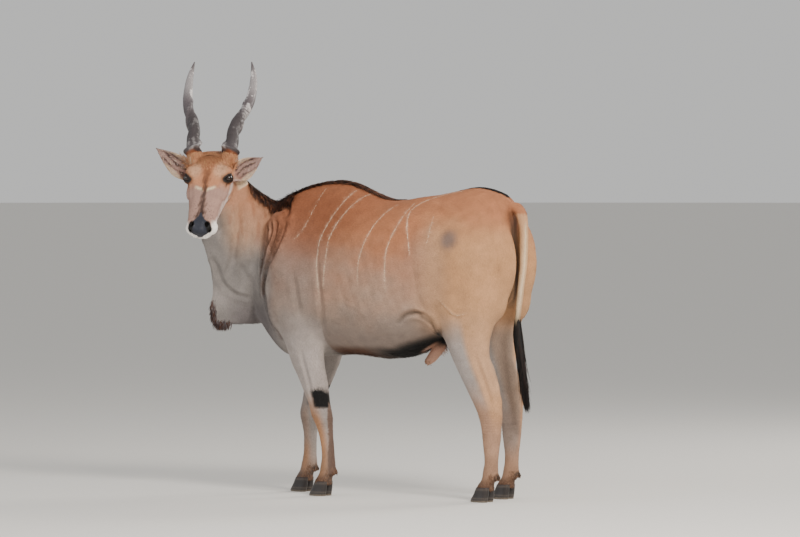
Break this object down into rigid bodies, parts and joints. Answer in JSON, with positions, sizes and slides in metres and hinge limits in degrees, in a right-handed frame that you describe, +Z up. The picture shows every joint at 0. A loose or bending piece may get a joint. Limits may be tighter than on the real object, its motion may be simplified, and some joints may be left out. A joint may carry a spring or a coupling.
{
  "type": "standing common eland bull, life-size museum model",
  "caption": "Still life-size model of a common eland bull standing on its hooves, neck bent to its left so that its face looks back past its shoulder.",
  "frame": {"origin": "middle of the model's box in plan, on the floor", "axes": "+Z up, the trunk along X with its front towards -X and its left side towards -Y"},
  "size_m": [1.9393, 0.9198, 2.1855],
  "materials": {
    "hide_tan": "short tawny hair over skin",
    "hide_grey": "short blue-grey hair over skin",
    "hide_pale": "short pale fawn hair over skin",
    "face": "short rufous and pinkish hair over skin",
    "sheath": "soft bare skin",
    "horn": "grey-brown keratin, worn and ridged",
    "hoof": "dark keratin",
    "eye": "wet and very dark brown"
  },
  "bodies": {
    "root": {"torso": "hide_tan", "neck": "hide_pale", "dewlap": "hide_grey", "head": "face", "tail": "hide_tan", "sheath": "sheath", "eye_left": "eye", "eye_right": "eye", "ear_left": "hide_pale", "ear_right": "hide_pale", "horn_left": "horn", "horn_right": "horn", "foreleg_left": "hide_grey", "foreleg_right": "hide_grey", "hindleg_left": "hide_grey", "hindleg_right": "hide_grey", "claw_fore_left_inner": "hoof", "claw_fore_left_outer": "hoof", "claw_fore_right_inner": "hoof", "claw_fore_right_outer": "hoof", "claw_hind_left_inner": "hoof", "claw_hind_left_outer": "hoof", "claw_hind_right_inner": "hoof", "claw_hind_right_outer": "hoof"}
  },
  "joints": []
}
